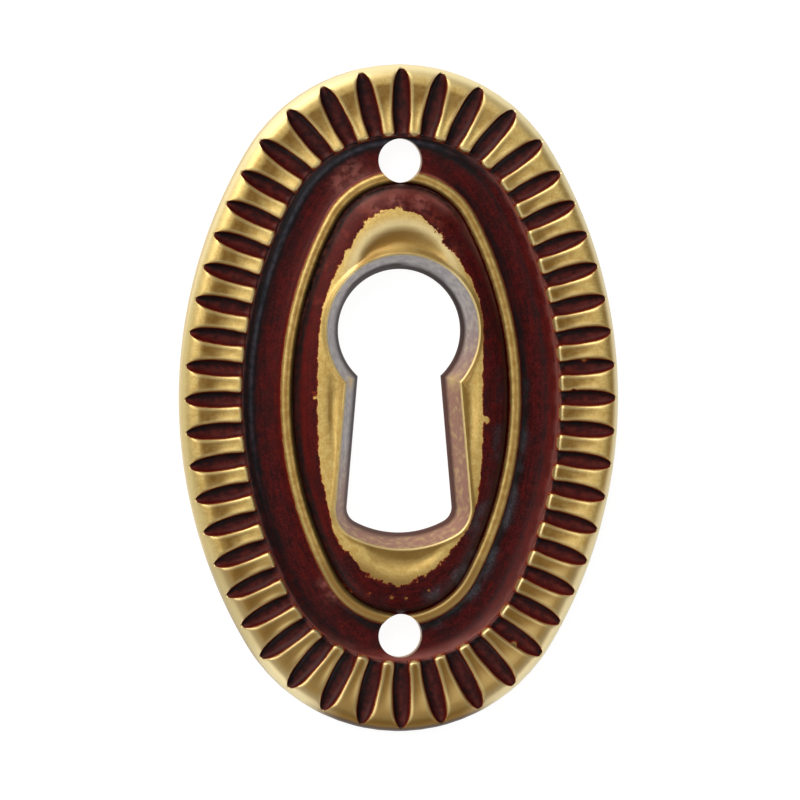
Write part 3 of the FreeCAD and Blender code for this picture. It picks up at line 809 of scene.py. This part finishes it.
    # Painted shade: the lacquer goes black under the black mask and on slopes turned away from the upper left
    dark = math_node("MAXIMUM", value("black"), ramp(value("facing"), -0.2, -1.0, 0.0, 0.6), True)
    lacquer = mix(math_node("MULTIPLY", lit, 0.35), lacquer, linear("5E130C"))
    lacquer = mix(math_node("MULTIPLY", value("glow"), ramp(blotch, 0.35, 0.65, 0.1, 0.6)), lacquer, linear("6E2A1E"))
    lacquer = mix(pink_sheen, lacquer, linear("8C524A"))
    uneven = math_node("ADD", math_node("MULTIPLY", grain, 0.5), math_node("MULTIPLY", blotch, 0.5))
    lacquer = mix(math_node("MULTIPLY", dark, ramp(uneven, 0.38, 0.64, 0.99, 0.7)), lacquer, linear("0C090B"))
    lacquer = mix(ramp(worn, -0.1, -0.02, 0.0, 0.55), lacquer, linear("7A2412"))
    lacquer = mix(ramp(worn, -0.03, 0.0, 0.0, 0.7), lacquer, linear("A85A20"))
    lacquer = mix(math_node("MULTIPLY", value("glint"), ramp(uneven, 0.38, 0.62, 0.3, 0.9)), lacquer, linear("484C56"))
    # Painted sheen: bluish grey reflections in patches on the lacquer
    patch = math_node("MULTIPLY", ramp(broad, 0.42, 0.62), ramp(fine, 0.3, 0.7, 0.3, 1.0))
    patch = math_node("MULTIPLY", math_node("MULTIPLY", value("sheen_patches"), patch), 0.5)
    lacquer = mix(patch, lacquer, linear("6E6C74"))
    colour = mix(rubbed, lacquer, gold)
    # The wall: a grey painted reflection at the upper left, warm pinkish brown at the lower right, a painted highlight
    # at the waist and a dark line at the foot
    wall = mix(value("warm"), mix(ramp(blotch, 0.35, 0.65), linear("A09A9C"), linear("B6B0AC")),
               mix(ramp(blotch, 0.42, 0.72), linear("A57A68"), linear("BC9E74")))
    wall = mix(value("waist"), wall, linear("D2B87E"))
    wall = mix(value("dark_foot"), wall, mix(value("warm"), linear("2E1712"), linear("5A3226")))
    colour = mix(value("wall"), colour, wall)
    colour = mix(value("behind"), colour, linear("B08A48"))

    metal = math_node("MULTIPLY", rubbed, ramp(value("edge"), 0, 1, 0.92, 0.42))
    metal = math_node("MAXIMUM", metal, value("behind"))
    bare_wall = math_node("SUBTRACT", value("wall"), value("dark_foot"), True)
    metal = math_node("MAXIMUM", metal, math_node("MULTIPLY", bare_wall, 0.55))
    rough = math_node("ADD", ramp(grain, 0.2, 0.8, 0.36, 0.42), math_node("MULTIPLY", metal, 0.11))
    rough = math_node("ADD", rough, math_node("MULTIPLY", math_node("MAXIMUM", value("bead"), value("boss")), 0.05))
    rough = math_node("ADD", rough, math_node("MULTIPLY", value("wall"), 0.12))

    relief = math_node("ADD", math_node("MULTIPLY", grain, 0.25), math_node("MULTIPLY", fine, 0.3))
    relief = math_node("ADD", relief, math_node("MULTIPLY", rubbed, -0.5))
    bump = add_node(tree, "ShaderNodeBump", {"Strength": 0.35, "Distance": 0.00002, "Height": relief})

    sheen = math_node("MAXIMUM", ramp(metal, 0, 1, 0.0, 0.5), ramp(dark, 0, 1, 0.1, 0.17))
    sheen = math_node("MULTIPLY", sheen, ramp(value("dark_foot"), 0, 1, 1.0, 0.05))
    shader = add_node(
        tree, "ShaderNodeBsdfPrincipled",
        {"Base Color": colour, "Metallic": metal, "Roughness": rough, "Specular IOR Level": sheen, "Coat Weight": math_node("MULTIPLY", metal, 0.25),
         "Coat Roughness": 0.32, "Normal": bump.outputs["Normal"]},
    )
    output = add_node(tree, "ShaderNodeOutputMaterial", {"Surface": shader.outputs[0]})
    return material


plate.data.materials.clear()
plate.data.materials.append(antiqued_brass())
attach(plate, "root")
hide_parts("escutcheon_plate")


# Floor, backdrop, lamps and camera

def white_floor():
    """Plain white paper: it shows white to the camera and in reflections, and keeps the shadow."""
    material, tree = new_material("white_paper_floor")
    path = add_node(tree, "ShaderNodeLightPath")
    seen = add_node(tree, "ShaderNodeMath", {0: path.outputs["Is Camera Ray"], 1: path.outputs["Is Glossy Ray"]}, operation="MAXIMUM")
    glow = add_node(tree, "ShaderNodeMath", {0: seen.outputs[0], 1: 0.92}, operation="MULTIPLY")
    shader = add_node(
        tree, "ShaderNodeBsdfPrincipled",
        {"Base Color": linear("6C6C6C"), "Roughness": 0.9, "Emission Color": (1, 1, 1, 1), "Emission Strength": glow.outputs[0]},
    )
    add_node(tree, "ShaderNodeOutputMaterial", {"Surface": shader.outputs[0]})
    return material


bpy.ops.object.select_all(action="DESELECT")
bpy.ops.mesh.primitive_plane_add(size=4, location=(0, 0, 0))
floor = bpy.context.object
floor.name = "floor"
floor.data.materials.append(white_floor())

world = bpy.context.scene.world or bpy.data.worlds.new("studio")
bpy.context.scene.world = world
world.use_nodes = True
tree = world.node_tree
for node in list(tree.nodes):
    tree.nodes.remove(node)
path = add_node(tree, "ShaderNodeLightPath")
strength = add_node(
    tree, "ShaderNodeMapRange",
    {"Value": path.outputs["Is Camera Ray"], "To Min": 0.24, "To Max": 1.0},
)
background = add_node(
    tree, "ShaderNodeBackground", {"Color": linear("FFFFFF"), "Strength": strength.outputs["Result"]}
)
add_node(tree, "ShaderNodeOutputWorld", {"Surface": background.outputs[0]})


def lamp(name, place, size, power, colour, target=(0, 0, 0)):
    data = bpy.data.lights.new(name, "AREA")
    data.shape = "RECTANGLE"
    data.size, data.size_y = size
    data.energy = power
    data.color = linear(colour)[:3]
    light = bpy.data.objects.new(name, data)
    bpy.context.scene.collection.objects.link(light)
    light.location = place
    light.rotation_euler = (Vector(target) - Vector(place)).to_track_quat("-Z", "Y").to_euler()


lamp("key", (-0.51, 0.68, 0.56), (1.0, 1.0), 13.0, "FFFAF2")
lamp("left", (-0.6, -0.7, 0.3), (0.5, 0.5), 2.0, "FFFFFF")
lamp("right", (0.8, -0.6, 0.3), (0.6, 0.6), 2.4, "FFFFFF")
lamp("above", (0.0, 0.0, 0.7), (0.7, 0.7), 1.0, "FBFBFF")

FRAME_PX = 800
distance = 0.35
toward = Vector((-math.sin(LEAN_X), math.sin(LEAN_Y), math.cos(LEAN_X) * math.cos(LEAN_Y))).normalized()
aim = Vector(((FRAME_PX / 2 - PHOTO_CENTRE[0]) * PHOTO_MM, (PHOTO_CENTRE[1] - FRAME_PX / 2) * PHOTO_MM, 0.6)) * MM
camera_data = bpy.data.cameras.new("camera")
camera_data.sensor_width = 36
camera_data.lens = camera_data.sensor_width * distance / (FRAME_PX * PHOTO_MM * MM)
camera_data.clip_start = 0.01
camera = bpy.data.objects.new("camera", camera_data)
bpy.context.scene.collection.objects.link(camera)
camera.location = aim + toward * distance
forward = -toward
right = Vector((math.cos(LEAN_X), 0, math.sin(LEAN_X)))
right = (right - forward * right.dot(forward)).normalized()
up = right.cross(forward).normalized()
basis = [[right[i], up[i], -forward[i]] for i in range(3)]
camera.rotation_euler = Matrix(basis).to_euler()
bpy.context.scene.camera = camera
bpy.context.scene.view_settings.view_transform = "Standard"
